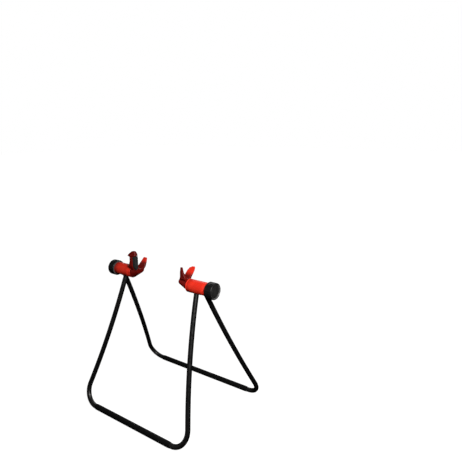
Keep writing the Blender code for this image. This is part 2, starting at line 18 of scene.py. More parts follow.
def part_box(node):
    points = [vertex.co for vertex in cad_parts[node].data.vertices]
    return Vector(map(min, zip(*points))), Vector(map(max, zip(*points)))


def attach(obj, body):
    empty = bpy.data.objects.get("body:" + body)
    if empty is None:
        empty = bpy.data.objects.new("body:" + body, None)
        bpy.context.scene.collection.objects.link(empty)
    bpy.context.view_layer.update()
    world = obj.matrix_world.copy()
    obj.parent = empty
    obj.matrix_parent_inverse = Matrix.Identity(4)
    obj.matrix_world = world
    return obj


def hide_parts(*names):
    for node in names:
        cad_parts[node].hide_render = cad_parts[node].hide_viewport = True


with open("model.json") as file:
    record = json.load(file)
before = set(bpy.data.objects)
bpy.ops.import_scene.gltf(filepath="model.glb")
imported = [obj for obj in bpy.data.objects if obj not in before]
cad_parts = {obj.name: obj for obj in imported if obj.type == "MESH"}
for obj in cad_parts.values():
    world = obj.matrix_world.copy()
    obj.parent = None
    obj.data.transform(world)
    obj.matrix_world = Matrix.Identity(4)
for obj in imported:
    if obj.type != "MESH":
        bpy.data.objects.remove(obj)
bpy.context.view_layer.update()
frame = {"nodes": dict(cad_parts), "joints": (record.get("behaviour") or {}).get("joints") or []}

MM = 0.001
GAP = 0.3 * MM                      # clearance between pieces that touch
ACROSS = Vector((0.0, 1.0, 0.0))
UP = Vector((0.0, 0.0, 1.0))
SIDES = (("left", -1), ("right", 1))

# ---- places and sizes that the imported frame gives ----
FOLD = next(joint for joint in frame["joints"] if joint["name"] == "frame_fold")
PIVOT = Vector(FOLD["pos_m"])
FOLD_ANGLE = math.radians(FOLD["range_deg"][1])
BARREL_LOW, BARREL_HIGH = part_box("right_barrel")
BARREL_START, BARREL_END = BARREL_LOW.x, BARREL_HIGH.x
BARREL_RADIUS = BARREL_HIGH.z - PIVOT.z
KNOB_LOW, KNOB_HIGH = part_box("right_knob")
KNOB_START, KNOB_END = KNOB_LOW.x, KNOB_HIGH.x
KNOB_RADIUS = KNOB_HIGH.z - PIVOT.z
COVER_LOW, COVER_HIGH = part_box("right_knob_cover")
COVER_START, COVER_END = COVER_LOW.x, COVER_HIGH.x
COVER_RADIUS = COVER_HIGH.z - PIVOT.z
CLAW_TIP_X = 74.5 * MM
CLAW_ROOT = BARREL_START - GAP
SPIGOT_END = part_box("right_claw")[1].x

# ---- tubes ----
TUBE_RADIUS = 6.35 * MM
TUBE_WALL = 1.2 * MM
TUBE_SIDES = 40
LEG_OVER_PIVOT = 8.6 * MM
LEG_STRAIGHT = 18.0 * MM
PIVOT_HOLE_RADIUS = 4.5 * MM
SLEEVE_RADIUS = 7.42 * MM
SLEEVE_BORE = TUBE_RADIUS + 0.08 * MM
SLEEVE_END_GAP = 1.0 * MM           # left between a sleeve and the bend beside it
SLEEVE_TAPER = 6.0 * MM             # length over which a sleeve thins out at each end
SLEEVE_LIP = 0.3 * MM               # thickness of a sleeve at its very end
SLEEVE_EASE = 0.12 * MM             # chamfer on that end
SLEEVE_SIDES = 56
BAR_HEIGHT = 7.3 * MM               # bar centre to the flat tread on the floor
BAR_DROP = PIVOT.z - BAR_HEIGHT


def floor_reach(node):
    """Distance along Y from the pivot axis to the middle of a floor bar."""
    low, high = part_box(node)
    return abs((low.y + high.y) / 2 - PIVOT.y)


# Half widths at the top and bottom, the bend's radius, and how straight the legs spread (1 is straight).
FRONT = {"name": "front", "body": "front_frame", "way": -1,
         "bow": 0.43, "bend": 40.7 * MM, "top": 125.0 * MM, "bottom": 188.8 * MM,
         "tilt": math.atan(floor_reach("front_floor_sleeve") / BAR_DROP)}
REAR = {"name": "rear", "body": "rear_frame", "way": 1,
        "bow": 0.51, "bend": 37.9 * MM, "top": 144.3 * MM, "bottom": 213.8 * MM,
        "tilt": math.atan(floor_reach("rear_floor_sleeve") / BAR_DROP)}

# ---- heads ----
BARREL_BORE = 13.0 * MM
BARREL_ROUNDING = 1.2 * MM
BARREL_SIDES = 128
INSIDE_BARREL = 0.8 * BARREL_BORE   # where cutters for the barrel's wall start
LEG_CUT_DEPTH = 1.6 * BARREL_RADIUS
GROOVE_INSET = 3.2 * MM             # from a barrel's end to the ring groove beside it
GROOVE_WIDTH = 1.3 * MM
GROOVE_DEPTH = 0.35 * MM
GROOVE_SLOPE = 0.35 * MM            # length of each sloping side of the groove
PARTING_HEIGHT = 0.10 * MM          # of the raised line where the halves of the mould met
PARTING_HALF_WIDTH = 0.6 * MM
SPIGOT_RADIUS = 12.7 * MM
KEY_HALF_WIDTH = 1.5 * MM
KEY_HEIGHT = 13.9 * MM
BOLT_HEAD_START, BOLT_HEAD_END = 93.7 * MM, 98.3 * MM
BOLT_POCKET_RADIUS = 6.2 * MM
BOLT_BORE = 3.3 * MM
KNOB_BORE = 5.8 * MM
KNOB_FLUTES = 24
KNOB_RIM = 1.4 * MM                 # size of the knob's rounded edges
KNOB_FLUTE_DEPTH = 0.4 * MM
GRIP_START, GRIP_END = 0.08, 0.86   # shares of the knob's length between which it is fluted
GRIP_FADE = 9.0                     # how fast the flutes deepen, per knob length
LIP_WIDTH = 1.75 * MM               # of the slope that leads down from a knob's rim to its end cover
LIP_EDGE = 0.3 * MM
COVER_RELIEF = 0.9 * MM             # height that stands for 1 in COVER_RINGS
# Radius in millimetres and drop of each ring of a cover: the ring groove, the dome, the centre mark.
COVER_RINGS = ((13.2, 0.0), (12.6, 0.05), (12.4, 0.32), (11.9, 0.32), (11.7, 0.05), (10.0, -0.08),
               (7.0, -0.2), (4.0, -0.28), (3.0, -0.3), (2.7, -0.1), (2.2, -0.1), (1.9, -0.3),
               (0.3, -0.32))
SCREW_SHANK_RADIUS = 1.75 * MM
SCREW_HEAD_RADIUS = 3.2 * MM
SCREW_TIP = 5.0 * MM
SCREW_SOCKET_RADIUS = 1.5 * MM

# ---- claws: see claw_stations for what the numbers mean ----
RIGHT_CLAW = {
    "front_y": -10.5 * MM, "arc_radius": 9.5 * MM, "arc_z": 22.0 * MM,
    "front_length": 24.7 * MM, "rear_length": 35.5 * MM, "seat_thickness": 9.0 * MM,
    "front_horn": ((0.0, 6.4, 79.5, 97.0), (0.22, 6.0, 79.5, 93.5), (0.42, 5.6, 79.5, 90.0),
                   (0.7, 5.2, 80.5, 88.0), (1.0, 4.2, 81.5, 87.0)),
    "arc": ((180.0, 79.5), (195.0, 78.5), (225.0, 76.5), (255.0, 76.0), (285.0, 76.5),
            (310.0, 76.5)),
    "rear_horn": ((0.0, 8.0, 76.5, 97.0), (0.3, 6.4, 76.0, 96.0), (0.6, 5.0, 75.5, 95.5),
                  (0.85, 4.4, 78.0, 94.0), (1.0, 3.2, 84.5, 91.5)),
    "root_radius": 14.6 * MM, "base_y": -1.5 * MM, "base_z": 9.0 * MM,
    "base_half_width": 13.0 * MM, "base_half_height": 9.0 * MM, "slant": 0.0, "ridges": 0}
LEFT_CLAW = {
    "front_y": -11.5 * MM, "arc_radius": 17.0 * MM, "arc_z": 22.5 * MM,
    "front_length": 40.0 * MM, "rear_length": 23.5 * MM, "seat_thickness": 9.0 * MM,
    "front_horn": ((0.0, 11.0, 84.0, 97.0), (0.3, 11.0, 84.0, 93.0), (0.62, 11.0, 84.0, 92.5),
                   (0.67, 11.0, 74.5, 98.0), (0.8, 10.0, 74.5, 95.5), (0.9, 8.0, 76.0, 91.0),
                   (1.0, 5.0, 78.0, 86.0)),
    "arc": ((180.0, 84.0), (195.0, 84.0), (212.0, 84.0), (217.0, 74.5), (235.0, 74.5),
            (255.0, 74.5), (285.0, 74.5), (330.0, 74.5)),
    "rear_horn": ((0.0, 6.8, 74.5, 97.0), (0.5, 5.6, 75.5, 92.5), (1.0, 3.6, 78.0, 89.0)),
    "root_radius": BARREL_RADIUS - GAP, "base_y": 4.0 * MM, "base_z": 6.0 * MM,
    "base_half_width": 13.0 * MM, "base_half_height": 7.5 * MM, "slant": 0.28, "ridges": 4}
RIDGE_HEIGHT = 1.4 * MM
RIDGE_START = 0.67                  # share of the front horn's length
SLANT_FADE = 60.0                   # degrees of the arc over which the slant fades
CORNER_SHARE = 0.26                 # corner radius, as a share of a claw section's smaller side
FACING_TOP = 0.625                  # share of the front horn's length
FACING_END = 212.0                  # degrees round the arc
RIB_STEP = 0.6 * MM                 # along the facing, from one of its rings to the next
RIB_DEPTH = 0.35 * MM
PEG_RADIUS = 2.0 * MM
PEG_DEPTH = 5.0 * MM
PEG_HEIGHT = 0.15
FOOT_INSET = 0.6 * MM
SKIN_CELL = 0.5 * MM                # grid that a moulded claw's skin is made on
SKIN_SMOOTHING = 7
SKIN_KEPT = 0.42                    # share of the skin's faces kept


# ================ shapes

def loft(shape, rings, capped=True):
    """Join rings that have the same number of points, with a flat face on each end."""
    loops = [[shape.verts.new(point) for point in ring] for ring in rings]
    for first, second in zip(loops, loops[1:]):
        join_loops(shape, first, second)
    if capped:
        shape.faces.new(loops[0])
        shape.faces.new(list(reversed(loops[-1])))
    return loops


def join_loops(shape, first, second):
    count = len(first)
    for i in range(count):
        j = (i + 1) % count
        shape.faces.new((first[i], first[j], second[j], second[i]))


def circle(centre, across, up, radius, sides, turn=0.5):
    points = []
    for i in range(sides):
        angle = 2.0 * math.pi * (i + turn) / sides
        points.append(centre + across * (radius * math.cos(angle)) + up * (radius * math.sin(angle)))
    return points


def arc_points(centre, radius, start, end, steps=4):
    """Points of an arc in a (distance along X, radius) outline, with angles in degrees."""
    points = []
    for i in range(steps + 1):
        angle = math.radians(start + (end - start) * i / steps)
        points.append((centre[0] + radius * math.cos(angle), centre[1] + radius * math.sin(angle)))
    return points


def turned(profile, sides, side, shaping=None):
    """Spin a closed outline of (distance along X, radius) about the head axis."""
    shape = bmesh.new()
    loops = []
    for x, radius in profile:
        ring = []
        for i in range(sides):
            angle = 2.0 * math.pi * i / sides
            length = radius - shaping(x, radius, angle) if shaping else radius
            ring.append(shape.verts.new(PIVOT + Vector((side * x, length * math.sin(angle),
                                                             length * math.cos(angle)))))
        loops.append(ring)
    for first, second in zip(loops, loops[1:] + loops[:1]):
        join_loops(shape, first, second)
    return shape


def lathe_disc(profile, sides, side):
    """Spin an open outline that starts and ends on the head axis."""
    shape = bmesh.new()
    rings = [[PIVOT + Vector((side * x, point.y, point.z))
              for point in circle(Vector(), ACROSS, UP, radius, sides)] for x, radius in profile]
    loft(shape, rings)
    return shape


def rod(start, end, radius, sides, side, height=Vector()):
    """A round bar along X, at a place measured from the head axis."""
    shape = bmesh.new()
    rings = [circle(PIVOT + height + Vector((side * x, 0, 0)), ACROSS, UP, radius, sides)
             for x in (start, end)]
    loft(shape, rings)
    return shape


def block(low, high):
    shape = bmesh.new()
    bmesh.ops.create_cube(shape, size=1.0)
    low, high = PIVOT + Vector(low), PIVOT + Vector(high)
    fit = Matrix.Translation((low + high) / 2) @ Matrix.Diagonal((*(high - low), 1.0))
    bmesh.ops.transform(shape, verts=shape.verts, matrix=fit)
    return shape


def merged(*shapes):
    """One bmesh with all the given shapes in it."""
    whole = bmesh.new()
    for shape in shapes:
        mesh = bpy.data.meshes.new("part")
        bmesh.ops.recalc_face_normals(shape, faces=shape.faces)
        shape.to_mesh(mesh)
        shape.free()
        whole.from_mesh(mesh)
        bpy.data.meshes.remove(mesh)
    return whole


def temporary(shape):
    mesh = bpy.data.meshes.new("work")
    bmesh.ops.recalc_face_normals(shape, faces=shape.faces)
    shape.to_mesh(mesh)
    shape.free()
    thing = bpy.data.objects.new("work", mesh)
    bpy.context.scene.collection.objects.link(thing)
    return thing


def changed(shape, set_up):
    """The shape after modifiers, which set_up adds to a temporary object."""
    thing = temporary(shape)
    tools = set_up(thing) or []
    graph = bpy.context.evaluated_depsgraph_get()
    mesh = bpy.data.meshes.new_from_object(thing.evaluated_get(graph))
    result = bmesh.new()
    result.from_mesh(mesh)
    bpy.data.meshes.remove(mesh)
    for used in [thing, *tools]:
        data = used.data
        bpy.data.objects.remove(used)
        bpy.data.meshes.remove(data)
    return result


def carved(shape, cutters):
    """The shape with each cutter taken away from it."""
    def set_up(thing):
        tools = [temporary(cutter) for cutter in cutters]
        for tool in tools:
            change = thing.modifiers.new("cut", "BOOLEAN")
            change.operation = "DIFFERENCE"
            change.object = tool
            change.solver = "EXACT"
        return tools
    return changed(shape, set_up)


def moulded(shape):
    """One even skin round overlapping solids, with soft inside and outside corners."""
    def set_up(thing):
        skin = thing.modifiers.new("skin", "REMESH")
        skin.mode = "VOXEL"
        skin.voxel_size = SKIN_CELL
        soft = thing.modifiers.new("soft", "SMOOTH")
        soft.factor = 0.5
        soft.iterations = SKIN_SMOOTHING
        fewer = thing.modifiers.new("fewer", "DECIMATE")
        fewer.ratio = SKIN_KEPT
    return changed(shape, set_up)


def eased(shape, width, angle=50.0):
    """The shape with its sharp edges rounded."""
    def set_up(thing):
        rounding = thing.modifiers.new("rounding", "BEVEL")
        rounding.width = width
        rounding.segments = 2
        rounding.limit_method = "ANGLE"
        rounding.angle_limit = math.radians(angle)
        rounding.use_clamp_overlap = True
    return changed(shape, set_up)


def piece(name, shape, surface, body, node, sharp=38.0):
    """A finished piece that rides on a body and stands for a CAD node."""
    bmesh.ops.recalc_face_normals(shape, faces=shape.faces)
    mesh = bpy.data.meshes.new(name)
    shape.to_mesh(mesh)
    shape.free()
    mesh.shade_smooth()
    mesh.set_sharp_from_angle(angle=math.radians(sharp))
    mesh.materials.append(surface)
    thing = bpy.data.objects.new(name, mesh)
    bpy.context.scene.collection.objects.link(thing)
    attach(thing, body)
    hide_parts(node)


# ================ tubes and sleeves

def leg_length(spec):
    return BAR_DROP / math.cos(spec["tilt"])


def leg_offset(spec, below):
    """Half width of a frame at a distance below the pivot axis, along its plane."""
    if below <= LEG_STRAIGHT:
        return spec["top"]
    share = (below - LEG_STRAIGHT) / (leg_length(spec) - LEG_STRAIGHT)
    spread = spec["bottom"] - spec["top"]
    return spec["top"] + spread * (spec["bow"] * share + (1.0 - spec["bow"]) * share * share)


def frame_path(spec, leg_steps=30, bend_steps=18):
    """Centre line of half a frame in its own plane, from a leg's end to the middle of the bar."""
    length, bend = leg_length(spec), spec["bend"]
    slope = (leg_offset(spec, length) - leg_offset(spec, length - bend)) / bend
    lean = math.atan(slope)
    setback = bend * math.tan((math.pi / 2 + lean) / 2)
    bend_top = length - setback * math.cos(lean)
    points = [(spec["top"], -LEG_OVER_PIVOT), (spec["top"], LEG_STRAIGHT)]
    for i in range(1, leg_steps + 1):
        below = LEG_STRAIGHT + (bend_top - LEG_STRAIGHT) * i / leg_steps
        points.append((leg_offset(spec, below), below))
    centre = (leg_offset(spec, length) - setback, length - bend)
    for i in range(1, bend_steps + 1):
        angle = lean * (1 - i / bend_steps) - (math.pi / 2) * i / bend_steps
        points.append((centre[0] + bend * math.cos(angle), centre[1] - bend * math.sin(angle)))
    return points


def into_row_frame(spec, x, depth, forward=0.0):
    """A point of a frame's own plane, in the row frame."""
    tilt = spec["way"] * spec["tilt"]
    down = Vector((0.0, math.sin(tilt), -math.cos(tilt)))
    out = Vector((0.0, math.cos(tilt), math.sin(tilt)))
    return PIVOT + Vector((x, 0, 0)) + down * depth + out * forward


def bent_tube(spec):
    half = frame_path(spec)
    line = [into_row_frame(spec, x, z) for x, z in half]
    line += [into_row_frame(spec, -x, z) for x, z in reversed(half)]
    out = into_row_frame(spec, 0, 0, 1.0) - PIVOT
    outer, inner = [], []
    for i, point in enumerate(line):
        before = (point - line[max(i - 1, 0)]).normalized()
        after = (line[min(i + 1, len(line) - 1)] - point).normalized()
        across = (before + after).normalized().cross(out)
        outer.append(circle(point, across, out, TUBE_RADIUS, TUBE_SIDES))
        inner.append(circle(point, across, out, TUBE_RADIUS - TUBE_WALL, TUBE_SIDES))
    shape = bmesh.new()
    skin = loft(shape, outer, capped=False)
    bore = loft(shape, inner, capped=False)
    join_loops(shape, skin[0], bore[0])
    join_loops(shape, skin[-1], bore[-1])
    holes = [rod(spec["top"] - 2 * TUBE_RADIUS, spec["top"] + 2 * TUBE_RADIUS, PIVOT_HOLE_RADIUS,
                 24, side) for _, side in SIDES]
    if spec is FRONT:
        radius = SCREW_SHANK_RADIUS + GAP
        holes += [screw_line(side, [(0.6 * TUBE_RADIUS, radius), (1.6 * TUBE_RADIUS, radius)])
                  for _, side in SIDES]
    return carved(shape, holes)


def sleeve_ring(x, y, radius):
    """Points of a round section whose underside is cut to a flat tread."""
    ring = []
    for point in circle(Vector((x, y, BAR_HEIGHT)), ACROSS, UP, radius, SLEEVE_SIDES):
        ring.append(Vector((point.x, point.y, max(point.z, 0.0))))
    return ring


def floor_sleeve(spec):
    """Thin rubber sleeve with ends that thin out on to the tube, and a flat tread."""
    half = frame_path(spec)[-1][0] - SLEEVE_END_GAP
    y = PIVOT.y + spec["way"] * BAR_DROP * math.tan(spec["tilt"])
    least = SLEEVE_BORE + SLEEVE_LIP
    stations = [(half, least - SLEEVE_EASE), (half - SLEEVE_EASE, least)]
    steps = 7
    for i in range(1, steps + 1):
        share = i / steps
        rise = 0.5 - 0.5 * math.cos(math.pi * share)
        stations.append((half - SLEEVE_TAPER * share, least + (SLEEVE_RADIUS - least) * rise))
    stations += [(half * 0.5, SLEEVE_RADIUS), (0.0, SLEEVE_RADIUS)]
    full = stations + [(-x, radius) for x, radius in reversed(stations[:-1])]
    shape = bmesh.new()
    skin = loft(shape, [sleeve_ring(x, y, radius) for x, radius in full], capped=False)
    inside = loft(shape, [circle(Vector((x, y, BAR_HEIGHT)), ACROSS, UP, SLEEVE_BORE, SLEEVE_SIDES)
                          for x, _ in full], capped=False)
    join_loops(shape, skin[0], inside[0])
    join_loops(shape, skin[-1], inside[-1])
    return shape


# ================ heads

def leg_slot(side):
    """Cutter for the room that a rear leg needs in a barrel as the stand folds."""
    half = TUBE_RADIUS + 1.5 * GAP
    shape = bmesh.new()
    rings = []
    for x in (REAR["top"] - half, REAR["top"] + half):
        points = []
        for tilt, edge in ((REAR["tilt"], 1.0), (REAR["tilt"] - FOLD_ANGLE, -1.0)):
            down = Vector((0.0, math.sin(tilt), -math.cos(tilt)))
            across = Vector((0.0, math.cos(tilt), math.sin(tilt)))
            pair = [across * (edge * half), across * (edge * half) + down * LEG_CUT_DEPTH]
            points += pair if edge > 0 else list(reversed(pair))
        rings.append([PIVOT + point + Vector((side * x, 0, 0)) for point in points])
    loft(shape, rings)
    return shape


def leg_hole(side):
    """Cutter for the front leg, which stays fixed in the barrel."""
    shape = bmesh.new()
    out = into_row_frame(FRONT, 0, 0, 1.0) - PIVOT
    rings = [circle(into_row_frame(FRONT, side * FRONT["top"], depth), Vector((1, 0, 0)), out,
                    TUBE_RADIUS + GAP, TUBE_SIDES)
             for depth in (0.5 * BARREL_BORE, LEG_CUT_DEPTH)]
    loft(shape, rings)
    return shape


def screw_line(side, stations, sides=28):
    """Rings along a leg screw, as (distance from the head axis, radius)."""
    outward = Vector((0.0, math.cos(FRONT["tilt"]), -math.sin(FRONT["tilt"])))
    across = Vector((1.0, 0.0, 0.0))
    centre = PIVOT + Vector((side * FRONT["top"], 0.0, 0.0))
    shape = bmesh.new()
    loft(shape, [circle(centre + outward * d, across, outward.cross(across), r, sides)
                 for d, r in stations])
    return shape


def barrel(side):
    """Moulded barrel: rounded ends, a groove by each end, and a fine parting line."""
    edge = BARREL_ROUNDING
    start, end, full = BARREL_START, BARREL_END, BARREL_RADIUS
    profile = [(start, BARREL_BORE)]
    profile += arc_points((start + edge, full - edge), edge, 180.0, 90.0)
    profile += groove(start + GROOVE_INSET)
    profile += [(start + (end - start) * share, full) for share in (0.25, 0.5, 0.75)]
    profile += groove(end - GROOVE_INSET - GROOVE_WIDTH)
    profile += arc_points((end - edge, full - edge), edge, 90.0, 0.0)
    profile += [(end, BARREL_BORE)]
    shape = turned(profile, BARREL_SIDES, side, parting_line)
    width = KEY_HALF_WIDTH + GAP
    ends = sorted((side * (start - MM), side * (SPIGOT_END + 3.0 * MM)))
    keyway = block((ends[0], -width, INSIDE_BARREL), (ends[1], width, KEY_HEIGHT + GAP))
    radius = SCREW_SHANK_RADIUS + GAP
    screw_hole = screw_line(side, [(INSIDE_BARREL, radius), (BARREL_RADIUS * 1.3, radius)])
    shape = carved(shape, [leg_slot(side), leg_hole(side), screw_hole, keyway])
    return eased(shape, 0.3 * MM)


def groove(x):
    """Outline of a ring groove in the barrel's skin that starts at x."""
    low = BARREL_RADIUS - GROOVE_DEPTH
    return [(x, BARREL_RADIUS), (x + GROOVE_SLOPE, low), (x + GROOVE_WIDTH - GROOVE_SLOPE, low),
            (x + GROOVE_WIDTH, BARREL_RADIUS)]


def parting_line(x, radius, angle):
    """Depth of the barrel's skin below its outline: a hair-fine raised line on top and below."""
    if radius < BARREL_RADIUS - 0.05 * MM:
        return 0.0
    nearest = abs(math.remainder(angle, math.pi)) * radius
    return PARTING_HEIGHT * min(1.0, nearest / PARTING_HALF_WIDTH)


def flutes(x, radius, angle):
    """Depth of the knob's scallops, fading towards both ends of the grip."""
    if radius < KNOB_RADIUS - 0.3 * MM:
        return 0.0
    along = (x - KNOB_START) / (KNOB_END - KNOB_START)
    fade = min(1.0, max(0.0, (along - GRIP_START) * GRIP_FADE))
    fade *= min(1.0, max(0.0, (GRIP_END - along) * GRIP_FADE))
    wave = 0.5 - 0.5 * math.cos(KNOB_FLUTES * angle)
    return KNOB_FLUTE_DEPTH * fade * wave ** 1.6


def knob(side):
    """Knob with a fluted grip, a smooth shoulder, and a rounded rim round its end cover."""
    start, end, full = KNOB_START, KNOB_END, KNOB_RADIUS
    recess, floor = COVER_RADIUS + GAP, COVER_START - GAP
    rim, shoulder = KNOB_RIM, 1.5 * KNOB_RIM
    profile = [(start, KNOB_BORE), (start, full - 5.0 * MM), (start + 0.25 * MM, full - 4.6 * MM)]
    profile += arc_points((start + rim, full - rim), rim, 180.0, 90.0, 6)
    profile += [(start + (end - start) * share, full) for share in (0.16, 0.26, 0.4, 0.55, 0.68, 0.76)]
    profile += [(end - 2.2 * rim, full), (end - 1.9 * rim, full - 0.12 * MM)]
    profile += arc_points((end - shoulder, full - 0.15 * rim - shoulder), shoulder, 80.0, 0.0, 8)
    profile += [(end, recess + LIP_WIDTH), (end - LIP_EDGE, recess + LIP_WIDTH - LIP_EDGE),
                (COVER_END, recess), (floor, recess), (floor, KNOB_BORE)]
    return turned(profile, KNOB_FLUTES * 12, side, flutes)


def knob_cover(side):
    """Slightly domed cover with a ring groove and a shallow centre mark."""
    start, end, full = COVER_START, COVER_END, COVER_RADIUS
    profile = [(start, full - 0.2 * MM), (start + 0.2 * MM, full), (end - 0.45 * MM, full),
               (end - 0.2 * MM, full - 0.12 * MM), (end - 0.1 * MM, full - 0.5 * MM)]
    for radius, drop in COVER_RINGS:
        profile.append((end - 0.05 * MM - drop * COVER_RELIEF, radius * MM))
    return lathe_disc(profile, 96, side)


def leg_screw(side):
    """Button-head screw with a hexagon socket."""
    seat = BARREL_RADIUS + 0.1 * MM
    dome = 1.25 * MM
    stations = [(SCREW_TIP, SCREW_SHANK_RADIUS - 0.3 * MM), (SCREW_TIP + 0.5 * MM, SCREW_SHANK_RADIUS),
                (seat, SCREW_SHANK_RADIUS), (seat + 0.01 * MM, SCREW_HEAD_RADIUS - 0.1 * MM),
                (seat + 0.15 * MM, SCREW_HEAD_RADIUS)]
    for i in range(1, 7):
        angle = math.radians(72.0 * i / 6)
        stations.append((seat + 0.35 * MM + dome * math.sin(angle),
                         SCREW_HEAD_RADIUS * math.cos(angle * 0.72)))
    head = screw_line(side, stations, 36)
    socket = screw_line(side, [(seat + 0.5 * MM, SCREW_SOCKET_RADIUS),
                               (seat + 3.0 * MM, SCREW_SOCKET_RADIUS)], 6)
    return carved(head, [socket])


# ================ claws

def between(stations, share):
    """Thickness and edges at a share of a horn's length, in metres."""
    for first, second in zip(stations, stations[1:]):
        if share <= second[0]:
            mix = (share - first[0]) / (second[0] - first[0])
            return [(a + (b - a) * mix) * MM for a, b in zip(first[1:], second[1:])]
    return [value * MM for value in stations[-1][1:]]


def place(centre, inward, edges, covered, ridge=0.0, slant=0.0):
    """One place along a claw; covered ones carry the facing."""
    thickness, near, far = edges
    return {"centre": centre, "inward": inward, "thickness": thickness, "near": near, "far": far,
            "covered": covered, "ridge": ridge, "slant": slant}


def claw_stations(claw):
    """Places along the open U of a claw, from the front horn's tip to the rear horn's tip.

    A horn lists its stations from root to tip: share of its length, then thickness and the two
    edges along X in millimetres. The arc lists degrees round it and the inner edge.
    """
    marks = {}
    count = 2 * claw["ridges"]
    for i in range(count):
        marks[RIDGE_START + (1.0 - RIDGE_START) * i / count] = i % 2
    shares = sorted({station[0] for station in claw["front_horn"]} | set(marks))
    places = []
    for share in reversed(shares[1:]):
        centre = Vector((0.0, claw["front_y"], claw["arc_z"] + share * claw["front_length"]))
        places.append(place(centre, Vector((0, 1, 0)), between(claw["front_horn"], share),
                            share <= FACING_TOP, RIDGE_HEIGHT * marks.get(share, 0), claw["slant"]))
    middle = Vector((0.0, claw["front_y"] + claw["arc_radius"], claw["arc_z"]))
    root = between(claw["front_horn"], 0.0)
    far = between(claw["rear_horn"], 0.0)
    first, last = claw["arc"][0][0], claw["arc"][-1][0]
    for degrees, near in claw["arc"]:
        angle = math.radians(degrees)
        outward = Vector((0.0, math.cos(angle), math.sin(angle)))
        thickness = claw["seat_thickness"]
        if degrees == first:
            thickness = root[0]
        if degrees == last:
            thickness = far[0]
        fade = max(0.0, 1.0 - (degrees - first) / SLANT_FADE)
        places.append(place(middle + outward * claw["arc_radius"], -outward,
                            (thickness, near * MM, root[2]), degrees <= FACING_END,
                            slant=claw["slant"] * fade))
    end = math.radians(last)
    start = middle + Vector((0.0, math.cos(end), math.sin(end))) * claw["arc_radius"]
    along = Vector((0.0, -math.sin(end), math.cos(end)))
    inward = Vector((0.0, -math.cos(end), -math.sin(end)))
    for share, *_ in claw["rear_horn"][1:]:
        centre = start + along * (share * claw["rear_length"])
        places.append(place(centre, inward, between(claw["rear_horn"], share), False))
    return places


def corner_points(near, far, outer, inner, steps=3):
    """A rectangle from near to far and -outer to inner, with rounded corners."""
    cut = min(outer + inner, far - near) * CORNER_SHARE
    points = []
    for x, depth, start in ((far - cut, inner - cut, 0.0), (near + cut, inner - cut, 90.0),
                            (near + cut, cut - outer, 180.0), (far - cut, cut - outer, 270.0)):
        for i in range(steps + 1):
            angle = math.radians(start + 90.0 * i / steps)
            points.append((x + cut * math.cos(angle), depth + cut * math.sin(angle)))
    return points


def band(places, side):
    """Loft a strip with rounded corners through the places; a slant moves its inner edge rearward."""
    middle = (CLAW_TIP_X + CLAW_ROOT) / 2
    rings = []
    for spot in places:
        inner = spot["thickness"] / 2
        corners = corner_points(spot["near"], spot["far"], inner + spot["ridge"], inner)
        rings.append([PIVOT + spot["centre"] + spot["inward"] * depth
                      + Vector((side * x, spot["slant"] * (middle - x), 0.0)) for x, depth in corners])
    shape = bmesh.new()
    loft(shape, rings)
    return shape


def claw_channel(claw, side):
    """Cutter that keeps a claw's base out of the space between the horns."""
    lift = 0.02 * MM
    inside = [spot["centre"] + spot["inward"] * (spot["thickness"] / 2 + lift)
              for spot in claw_stations(claw) if spot["centre"].z < claw["arc_z"] + 0.1 * MM]
    rings = [[PIVOT + point + Vector((side * x, 0, 0)) for point in inside]
             for x in (CLAW_TIP_X - 5.0 * MM, CLAW_ROOT + 5.0 * MM)]
    shape = bmesh.new()
    loft(shape, rings)
    return shape


def claw_base(claw, side):
    """Loft from the barrel's end to the smaller inner end of a claw."""
    root = claw["root_radius"]
    shape = bmesh.new()
    ends = ((CLAW_ROOT, 0.0, 0.0, root, root),
            (CLAW_TIP_X + FOOT_INSET, claw["base_y"], claw["base_z"],
             claw["base_half_width"], claw["base_half_height"]))
    rings = []
    for share in (0.0, 0.25, 0.5, 0.75, 1.0):
        x, y, z, wide, high = [a + (b - a) * share for a, b in zip(*ends)]
        rings.append([PIVOT + Vector((side * x, y + point.y * wide, z + point.z * high))
                      for point in circle(Vector(), ACROSS, UP, 1.0, 72)])
    loft(shape, rings)
    return shape


def peg(claw, side, start, end, radius):
    height = Vector((0.0, claw["front_y"], claw["arc_z"] + PEG_HEIGHT * claw["front_length"]))
    return rod(start, end, radius, 32, side, height)


def claw_body(claw, side, faced):
    """Moulded claw: the U, its base and its spigot under one skin, then the bored holes."""
    base = carved(claw_base(claw, side), [claw_channel(claw, side)])
    spigot = rod(CLAW_ROOT - 2.0 * MM, SPIGOT_END, SPIGOT_RADIUS, 72, side)
    ends = sorted((side * (CLAW_ROOT - 0.5 * MM), side * (SPIGOT_END - MM)))
    key = block((ends[0], -KEY_HALF_WIDTH, SPIGOT_RADIUS * 0.8), (ends[1], KEY_HALF_WIDTH, KEY_HEIGHT))
    shape = moulded(merged(band(claw_stations(claw), side), base, spigot, key))
    pocket = rod(BOLT_HEAD_START, BOLT_HEAD_END, BOLT_POCKET_RADIUS, 6, side)
    bore = rod(BOLT_HEAD_END - MM, SPIGOT_END + 2.0 * MM, BOLT_BORE, 32, side)
    cutters = [pocket, bore]
    if faced:
        start = claw["arc"][0][1] * MM
        cutters.append(peg(claw, side, start - MM, start + PEG_DEPTH + MM, PEG_RADIUS + GAP))
    return carved(shape, cutters)


